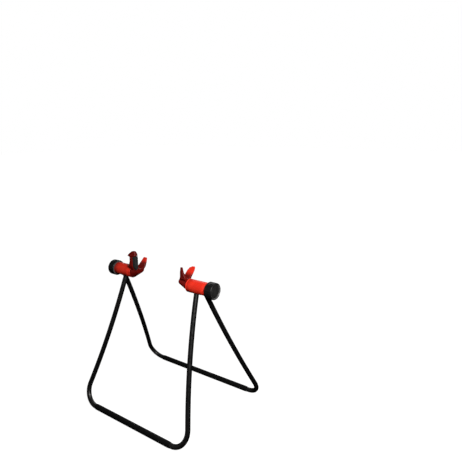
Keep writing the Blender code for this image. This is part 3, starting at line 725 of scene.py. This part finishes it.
def claw_facing(claw, side):
    """Rubber facing with fine cross ribs, each three rings long, and the peg behind it."""
    places = [{**spot, "near": CLAW_TIP_X, "far": spot["near"] - GAP, "ridge": 0.0}
              for spot in claw_stations(claw) if spot["covered"]]
    finer = []
    for first, second in zip(places, places[1:]):
        steps = max(2, round((first["centre"] - second["centre"]).length / RIB_STEP))
        for i in range(steps):
            mix = i / steps
            spot = {key: first[key] + (second[key] - first[key]) * mix
                    for key in ("centre", "thickness", "near", "far", "ridge", "slant")}
            spot["inward"] = first["inward"].lerp(second["inward"], mix).normalized()
            finer.append(spot)
    finer.append(places[-1])
    for i, spot in enumerate(finer):
        spot["thickness"] -= RIB_DEPTH * (0.5 - 0.5 * math.cos(i * math.pi / 1.5))
    start = claw["arc"][0][1] * MM
    pin = peg(claw, side, start - 2.0 * MM, start + PEG_DEPTH, PEG_RADIUS)
    return merged(band(finer, side), pin)


# ================ materials

class Surface:
    """A Principled material and the few nodes that its patterns need."""

    def __init__(self, name, roughness, metallic=0.0, specular=0.5):
        self.material = bpy.data.materials.new(name)
        self.material.use_nodes = True
        self.tree = self.material.node_tree
        self.shader = self.tree.nodes["Principled BSDF"]
        self.shader.inputs["Roughness"].default_value = roughness
        self.shader.inputs["Metallic"].default_value = metallic
        self.shader.inputs["Specular IOR Level"].default_value = specular
        self.place = self.tree.nodes.new("ShaderNodeTexCoord").outputs["Object"]
        self.height = None

    def node(self, kind, **settings):
        made = self.tree.nodes.new(kind)
        for key, value in settings.items():
            setattr(made, key, value)
        return made

    def link(self, source, target):
        self.tree.links.new(source, target)

    def stretched(self, scale, centre=(0.0, 0.0, 0.0)):
        mapping = self.node("ShaderNodeMapping", vector_type="TEXTURE")
        mapping.inputs["Location"].default_value = centre
        mapping.inputs["Scale"].default_value = scale
        self.link(self.place, mapping.inputs["Vector"])
        return mapping.outputs["Vector"]

    def noise(self, scale, detail=3.0, rough=0.55, vector=None, distortion=0.0):
        made = self.node("ShaderNodeTexNoise")
        made.inputs["Scale"].default_value = scale
        made.inputs["Detail"].default_value = detail
        made.inputs["Roughness"].default_value = rough
        made.inputs["Distortion"].default_value = distortion
        self.link(vector or self.place, made.inputs["Vector"])
        return made.outputs["Fac"]

    def speckle(self, scale, feature="F1"):
        made = self.node("ShaderNodeTexVoronoi", feature=feature)
        made.inputs["Scale"].default_value = scale
        self.link(self.place, made.inputs["Vector"])
        return made.outputs["Distance"]

    def ranged(self, value, low, high, start=0.0, end=1.0):
        made = self.node("ShaderNodeMapRange", interpolation_type="SMOOTHSTEP")
        for key, number in (("From Min", low), ("From Max", high), ("To Min", start), ("To Max", end)):
            made.inputs[key].default_value = number
        self.link(value, made.inputs["Value"])
        return made.outputs["Result"]

    def math(self, operation, first, second):
        made = self.node("ShaderNodeMath", operation=operation)
        for socket, value in zip(made.inputs, (first, second)):
            if isinstance(value, (int, float)):
                socket.default_value = value
            else:
                self.link(value, socket)
        return made.outputs["Value"]

    def mixed(self, share, first, second, blend="MIX"):
        made = self.node("ShaderNodeMix", data_type="RGBA", blend_type=blend)
        for socket, value in ((made.inputs[6], first), (made.inputs[7], second)):
            if isinstance(value, tuple):
                socket.default_value = (*value, 1.0)
            else:
                self.link(value, socket)
        if isinstance(share, (int, float)):
            made.inputs[0].default_value = share
        else:
            self.link(share, made.inputs[0])
        return made.outputs[2]

    def edges(self, low=0.52, high=0.60):
        """Share of wear on outside edges and corners."""
        return self.ranged(self.node("ShaderNodeNewGeometry").outputs["Pointiness"], low, high)

    def above_floor(self, low, high):
        """1 on the floor, falling to 0 at a height."""
        split = self.node("ShaderNodeSeparateXYZ")
        self.link(self.place, split.inputs["Vector"])
        return self.ranged(split.outputs["Z"], low, high, 1.0, 0.0)

    def rearward(self):
        """0 in front of a claw's seat and low down, rising to 1 on its rear horn: the part left out of
        the claw's painted shadow.
        """
        split = self.node("ShaderNodeSeparateXYZ")
        self.link(self.place, split.inputs["Vector"])
        behind = self.ranged(split.outputs["Y"], PIVOT.y + 2.0 * MM, PIVOT.y + 9.0 * MM)
        high = self.ranged(split.outputs["Z"], PIVOT.z + 20.0 * MM, PIVOT.z + 30.0 * MM)
        return self.math("MULTIPLY", behind, high)

    def painted_knob_shadow(self):
        """0 along most of a barrel, rising to 1 at the end that its knob turns against, where painted
        shade from the knob goes.
        """
        split = self.node("ShaderNodeSeparateXYZ")
        self.link(self.place, split.inputs["Vector"])
        outward = self.math("MULTIPLY", split.outputs["X"], split.outputs["X"])
        return self.ranged(outward, (BARREL_END - 8.0 * MM) ** 2, BARREL_END ** 2)

    def from_axis(self):
        """Distance from the head axis."""
        length = self.node("ShaderNodeVectorMath", operation="LENGTH")
        self.link(self.stretched((1000.0, 1.0, 1.0), PIVOT), length.inputs["Vector"])
        return length.outputs["Value"]

    def facing_up(self):
        split = self.node("ShaderNodeSeparateXYZ")
        self.link(self.node("ShaderNodeNewGeometry").outputs["Normal"], split.inputs["Vector"])
        return self.ranged(split.outputs["Z"], 0.2, 1.0)

    def colour(self, value):
        self.link(value, self.shader.inputs["Base Color"])

    def roughness(self, value):
        self.link(value, self.shader.inputs["Roughness"])

    def bump(self, value, distance, strength=1.0):
        made = self.node("ShaderNodeBump")
        made.inputs["Strength"].default_value = strength
        made.inputs["Distance"].default_value = distance
        self.link(value, made.inputs["Height"])
        if self.height is not None:
            self.link(self.height, made.inputs["Normal"])
        self.height = made.outputs["Normal"]
        self.link(self.height, self.shader.inputs["Normal"])


def tube_paint():
    """Satin black powder coat: orange peel, faint mottling, rubbed spots, and dust low down."""
    s = Surface("tube_paint", 0.34, specular=0.42)
    mottle = s.noise(60.0, 4.0)
    tone = s.mixed(s.ranged(mottle, 0.3, 0.7), (0.0035, 0.0035, 0.0038), (0.0065, 0.0065, 0.0068))
    scuffs = s.noise(420.0, 5.0, 0.7, s.stretched((1.0, 1.0, 3.5)))
    rubbed = s.math("MULTIPLY", s.ranged(scuffs, 0.66, 0.74), s.ranged(s.noise(22.0, 2.0), 0.5, 0.68))
    tone = s.mixed(s.math("MULTIPLY", rubbed, 0.4), tone, (0.045, 0.045, 0.044))
    dust = s.math("MULTIPLY", s.above_floor(0.008, 0.07), s.ranged(s.noise(90.0, 5.0, 0.65), 0.35, 0.8))
    tone = s.mixed(s.math("MULTIPLY", dust, 0.14), tone, (0.085, 0.078, 0.068))
    s.colour(tone)
    gloss = s.ranged(s.noise(150.0, 3.0), 0.3, 0.7, 0.27, 0.40)
    gloss = s.math("ADD", gloss, s.math("MULTIPLY", rubbed, 0.15))
    s.roughness(s.math("ADD", gloss, s.math("MULTIPLY", dust, 0.2)))
    s.bump(s.noise(900.0, 2.0, 0.5), 0.045 * MM, 0.55)
    s.bump(s.noise(3600.0, 1.0), 0.008 * MM, 0.5)
    return s.material


def sleeve_rubber():
    """Matt black rubber: fine lengthways ribs and grain, scuffed and dusty near the floor."""
    s = Surface("floor_rubber", 0.6, specular=0.10)
    fine = s.noise(2600.0, 3.0, 0.6)
    mottle = s.ranged(s.noise(75.0, 4.0), 0.3, 0.7)
    tone = s.mixed(mottle, (0.0028, 0.0028, 0.003), (0.0055, 0.0055, 0.0057))
    scuffs = s.ranged(s.noise(300.0, 5.0, 0.72, s.stretched((4.0, 1.0, 1.0))), 0.6, 0.72)
    low = s.above_floor(0.0, 0.006)
    worn = s.math("MULTIPLY", low, s.ranged(s.noise(160.0, 4.0, 0.7), 0.3, 0.75))
    tone = s.mixed(s.math("MULTIPLY", scuffs, 0.14), tone, (0.04, 0.039, 0.037))
    tone = s.mixed(s.math("MULTIPLY", worn, 0.3), tone, (0.06, 0.056, 0.05))
    s.colour(tone)
    s.roughness(s.ranged(fine, 0.2, 0.8, 0.5, 0.74))
    s.bump(fine, 0.03 * MM, 0.7)
    s.bump(s.noise(1100.0, 2.0, 0.5, s.stretched((30.0, 1.0, 1.0))), 0.06 * MM, 0.6)
    return s.material


def horn_rubber():
    """Soft black rubber with a fine pebbled grain."""
    s = Surface("horn_rubber", 0.7, specular=0.3)
    pebbles = s.speckle(2100.0)
    mottle = s.ranged(s.noise(170.0, 4.0), 0.3, 0.7)
    tone = s.mixed(mottle, (0.010, 0.0115, 0.012), (0.019, 0.021, 0.022))
    tone = s.mixed(s.math("MULTIPLY", s.edges(), 0.3), tone, (0.05, 0.05, 0.05))
    s.colour(tone)
    s.roughness(s.ranged(pebbles, 0.0, 0.7, 0.58, 0.82))
    s.bump(pebbles, 0.06 * MM, 0.6)
    return s.material


def red_plastic(name, shadow_painted):
    """Bright red moulded plastic: spark-eroded grain, flow marks, scuffs, paler edges and painted shade
    in hollows.

    One with painted shadow is a far deeper red everywhere but on the outer part of its rear horn.
    The other has painted shade where a knob turns against it.
    """
    s = Surface(name, 0.42, specular=0.3)
    flow = s.noise(38.0, 3.0, 0.5, s.stretched((1.0, 2.2, 1.0)), 0.4)
    tone = s.mixed(s.ranged(flow, 0.3, 0.72), (0.70, 0.022, 0.009), (0.83, 0.034, 0.014))
    speck = s.ranged(s.noise(520.0, 4.0, 0.65), 0.35, 0.75)
    tone = s.mixed(s.math("MULTIPLY", speck, 0.22), tone, (0.86, 0.05, 0.025))
    tone = s.mixed(s.math("MULTIPLY", s.edges(0.53, 0.62), 0.35), tone, (0.90, 0.10, 0.06))
    lines = s.noise(700.0, 3.0, 0.6, s.stretched((0.4, 6.0, 1.6)))
    scuffs = s.math("MULTIPLY", s.ranged(lines, 0.66, 0.72), s.ranged(s.noise(45.0, 2.0), 0.5, 0.66))
    tone = s.mixed(s.math("MULTIPLY", scuffs, 0.5), tone, (0.88, 0.16, 0.11))
    # painted shade: a deep red darkening in hollows and creases
    crevice_painted_shade = s.ranged(s.node("ShaderNodeNewGeometry").outputs["Pointiness"], 0.40, 0.49, 1.0, 0.0)
    tone = s.mixed(s.math("MULTIPLY", crevice_painted_shade, 0.55), tone, (0.13, 0.006, 0.004))
    if shadow_painted:
        # painted shadow: the claw's red multiplied far darker everywhere outside its rear horn
        tone = s.mixed(s.rearward(), s.mixed(1.0, tone, (0.17, 0.10, 0.11), "MULTIPLY"), tone)
    else:
        # painted shade: the barrel darker next to its knob
        tone = s.mixed(s.painted_knob_shadow(), tone, (0.16, 0.008, 0.005))
    s.colour(tone)
    gloss = s.ranged(s.noise(260.0, 3.0), 0.3, 0.7, 0.38, 0.5)
    s.roughness(s.math("ADD", gloss, s.math("MULTIPLY", scuffs, 0.2)))
    s.shader.inputs["Subsurface Weight"].default_value = 0.04
    s.shader.inputs["Subsurface Radius"].default_value = (1.0, 0.25, 0.15)
    s.shader.inputs["Subsurface Scale"].default_value = 0.6 * MM
    s.bump(s.noise(3000.0, 2.0, 0.5), 0.02 * MM, 0.55)
    s.bump(s.noise(420.0, 2.0, 0.5), 0.03 * MM, 0.25)
    return s.material


def black_plastic(name, rough_low, rough_high, tone_low, tone_high, rim=False):
    """Black moulded plastic with a leathery grain and rubbed, shinier edges.

    A knob's has a painted highlight on the slope inside its rim: a paler tone, and a smoother finish
    there.
    """
    s = Surface(name, 0.42, specular=0.32)
    grain = s.speckle(1900.0, "SMOOTH_F1")
    tone = s.mixed(s.ranged(s.noise(120.0, 4.0), 0.3, 0.7), tone_low, tone_high)
    wear = s.math("MULTIPLY", s.edges(0.52, 0.60), s.ranged(s.noise(330.0, 3.0), 0.35, 0.65))
    tone = s.mixed(s.math("MULTIPLY", wear, 0.4), tone, (0.04, 0.04, 0.04))
    dust = s.math("MULTIPLY", s.ranged(s.noise(260.0, 5.0, 0.7), 0.5, 0.8), s.facing_up())
    tone = s.mixed(s.math("MULTIPLY", dust, 0.07), tone, (0.10, 0.095, 0.09))
    gloss = s.ranged(grain, 0.0, 0.6, rough_low, rough_high)
    gloss = s.math("SUBTRACT", gloss, s.math("MULTIPLY", wear, 0.08))
    # painted highlight: a paler tone on the slope inside the knob's rim
    if rim:
        lip = COVER_RADIUS + GAP + LIP_WIDTH
        inside = s.ranged(s.from_axis(), lip, lip + 0.5 * MM, 1.0, 0.0)
        tone = s.mixed(inside, tone, (0.075, 0.075, 0.077))
        gloss = s.math("SUBTRACT", gloss, s.math("MULTIPLY", inside, 0.12))
    s.colour(tone)
    s.roughness(gloss)
    s.bump(grain, 0.05 * MM, 0.45)
    return s.material


def zinc_steel():
    """Zinc-plated steel: turning marks round X, a patchy passivate tint, and dull spots."""
    s = Surface("zinc_plate", 0.32, metallic=1.0)
    turning = s.noise(2400.0, 3.0, 0.6, s.stretched((0.5, 14.0, 14.0)))
    patches = s.ranged(s.noise(130.0, 4.0), 0.3, 0.7)
    tone = s.mixed(patches, (0.50, 0.51, 0.53), (0.62, 0.60, 0.54))
    spots = s.ranged(s.noise(700.0, 4.0, 0.7), 0.62, 0.74)
    tone = s.mixed(s.math("MULTIPLY", spots, 0.6), tone, (0.30, 0.29, 0.27))
    s.colour(tone)
    gloss = s.ranged(turning, 0.2, 0.8, 0.24, 0.42)
    s.roughness(s.math("ADD", gloss, s.math("MULTIPLY", spots, 0.25)))
    s.bump(turning, 0.02 * MM, 0.5)
    return s.material


def black_steel():
    """Blackened screw steel, worn bright on its edges."""
    s = Surface("black_oxide", 0.38, metallic=1.0)
    tone = s.mixed(s.ranged(s.noise(500.0, 4.0), 0.3, 0.7), (0.035, 0.035, 0.037), (0.06, 0.06, 0.06))
    wear = s.math("MULTIPLY", s.edges(0.53, 0.62), s.ranged(s.noise(900.0, 3.0), 0.3, 0.65))
    s.colour(s.mixed(s.math("MULTIPLY", wear, 0.7), tone, (0.30, 0.29, 0.28)))
    s.roughness(s.ranged(s.noise(1500.0, 3.0), 0.3, 0.7, 0.3, 0.48))
    s.bump(s.noise(2600.0, 2.0), 0.015 * MM, 0.5)
    return s.material


# ================ build

def build_stand():
    paint, rubber, facing = tube_paint(), sleeve_rubber(), horn_rubber()
    # The claws' red carries painted shadow; the barrels' red carries painted shade beside each knob.
    red, shadow_painted_red = red_plastic("moulded_red", False), red_plastic("claw_red_painted_shadow", True)
    grip = black_plastic("moulded_black_lip_highlight", 0.30, 0.48, (0.0035, 0.0035, 0.0038), (0.007, 0.007, 0.0073),
                         rim=True)
    # painted light: the end covers' black is paler than the knobs', standing in for light on their end
    # faces
    face = black_plastic("cover_black_painted_light", 0.58, 0.74, (0.0075, 0.0075, 0.0078), (0.014, 0.014, 0.0145))
    inner = black_plastic("bearing_black", 0.40, 0.60, (0.013, 0.013, 0.0135), (0.022, 0.022, 0.0225))
    zinc, oxide = zinc_steel(), black_steel()

    for spec in (FRONT, REAR):
        name, body = spec["name"], spec["body"]
        piece(f"{name}_painted_tube", bent_tube(spec), paint, body, f"{name}_frame_tube")
        piece(f"{name}_rubber_sleeve", floor_sleeve(spec), rubber, body, f"{name}_floor_sleeve")

    for (label, side), claw in zip(SIDES, (LEFT_CLAW, RIGHT_CLAW)):
        faced = claw is LEFT_CLAW
        piece(f"{label}_moulded_barrel", barrel(side), red, "front_frame", f"{label}_barrel")
        piece(f"{label}_moulded_claw", claw_body(claw, side, faced), shadow_painted_red, f"{label}_claw",
              f"{label}_claw", 45.0)
        piece(f"{label}_fluted_knob", knob(side), grip, f"{label}_knob", f"{label}_knob",
              45.0)
        piece(f"{label}_end_cover", knob_cover(side), face, f"{label}_knob", f"{label}_knob_cover")
        piece(f"{label}_socket_screw", leg_screw(side), oxide, "front_frame", f"{label}_leg_screw")
        if faced:
            piece(f"{label}_horn_rubber", claw_facing(claw, side), facing, f"{label}_claw",
                  f"{label}_claw_facing", 50.0)
        for node in ("pivot_sleeve", "thrust_washer", "knob_insert", "clamp_bolt"):
            recoat(f"{label}_{node}", zinc)
        for node in ("leg_spacer", "knob_bearing"):
            recoat(f"{label}_{node}", inner)


def recoat(node, surface):
    """Give a CAD node a finished material."""
    thing = frame["nodes"][node]
    for slot in thing.material_slots:
        slot.material = surface


# ================ studio

CAMERA_PLACE = Vector((0.77055, -0.78093, 0.74283))
CAMERA_YAW, CAMERA_PITCH, CAMERA_ROLL = -34.874, -12.929, -0.821
CAMERA_LENS = 34.166
SENSOR_WIDTH = 36.0
KEY_FROM, FILL_FROM, BACK_FROM = (0.75, -0.60, 0.68), (-0.70, -0.55, 0.30), (-0.35, 0.85, 0.55)
KEY_DISTANCE, KEY_SIZE = 0.85, 0.36
FLOOR_HALF_WIDTH = 12.0
FLOOR_SEGMENTS = 8


def build_camera():
    yaw, pitch, roll = (math.radians(a) for a in (CAMERA_YAW, CAMERA_PITCH, CAMERA_ROLL))
    forward = Vector((math.sin(yaw) * math.cos(pitch), math.cos(yaw) * math.cos(pitch), math.sin(pitch)))
    right = Vector((math.cos(yaw), -math.sin(yaw), 0.0))
    upward = right.cross(forward)
    across = math.cos(roll) * right + math.sin(roll) * upward
    above = -math.sin(roll) * right + math.cos(roll) * upward
    turn = Matrix((across, above, -forward)).transposed().to_4x4()
    turn.translation = CAMERA_PLACE + Vector((0.0, PIVOT.y, 0.0))
    camera = bpy.data.objects.new("camera", bpy.data.cameras.new("camera"))
    bpy.context.scene.collection.objects.link(camera)
    camera.matrix_world = turn
    camera.data.lens = CAMERA_LENS
    camera.data.sensor_width = SENSOR_WIDTH
    bpy.context.scene.camera = camera


def aimed(name, data, towards):
    """A lamp whose light comes from the given direction."""
    lamp = bpy.data.objects.new(name, data)
    lamp.rotation_euler = Vector(towards).to_track_quat("Z", "Y").to_euler()
    bpy.context.scene.collection.objects.link(lamp)
    return lamp


def sun(name, towards, strength, softness):
    data = bpy.data.lights.new(name, "SUN")
    data.energy = strength
    data.angle = math.radians(softness)
    aimed(name, data, towards)


def soft_box(name, aim, towards, distance, power, size):
    """A round soft box near the stand, which doesn't show in the picture itself."""
    data = bpy.data.lights.new(name, "AREA")
    data.shape = "DISK"
    data.size = size
    data.energy = power
    data.color = (1.0, 0.985, 0.96)
    lamp = aimed(name, data, towards)
    lamp.location = aim + Vector(towards).normalized() * distance
    lamp.visible_camera = False


def build_studio():
    world = bpy.data.worlds.new("studio")
    bpy.context.scene.world = world
    world.use_nodes = True
    world.node_tree.nodes["Background"].inputs["Color"].default_value = (1.0, 1.0, 1.0, 1.0)
    world.node_tree.nodes["Background"].inputs["Strength"].default_value = 1.0
    world.cycles_visibility.diffuse = False
    world.cycles_visibility.glossy = False
    right_head = PIVOT + Vector((BARREL_END, 0.0, 0.0))
    soft_box("key", right_head, KEY_FROM, KEY_DISTANCE, power=11.5, size=KEY_SIZE)
    sun("fill", FILL_FROM, strength=0.16, softness=70.0)
    sun("back", BACK_FROM, strength=0.9, softness=50.0)
    bpy.context.scene.view_settings.view_transform = "Standard"


def build_floor():
    """Pale floor that glows a little more with distance, so that its far edge doesn't show."""
    shape = bmesh.new()
    bmesh.ops.create_grid(shape, x_segments=FLOOR_SEGMENTS, y_segments=FLOOR_SEGMENTS,
                          size=FLOOR_HALF_WIDTH)
    mesh = bpy.data.meshes.new("floor")
    shape.to_mesh(mesh)
    shape.free()
    s = Surface("pale_floor", 0.8)
    s.colour(s.mixed(s.ranged(s.noise(3.0, 3.0), 0.3, 0.7), (0.24, 0.24, 0.24), (0.27, 0.27, 0.27)))
    s.shader.inputs["Emission Color"].default_value = (1.0, 1.0, 1.0, 1.0)
    distance = s.node("ShaderNodeVectorMath", operation="LENGTH")
    s.link(s.place, distance.inputs["Vector"])
    glow = s.ranged(distance.outputs["Value"], 0.6, 2.2, 0.93, 1.0)
    s.link(glow, s.shader.inputs["Emission Strength"])
    mesh.materials.append(s.material)
    floor = bpy.data.objects.new("floor", mesh)
    floor.location.z = -0.2 * MM
    bpy.context.scene.collection.objects.link(floor)
    floor.visible_diffuse = False
    floor.visible_glossy = False


build_stand()
build_camera()
build_studio()
build_floor()
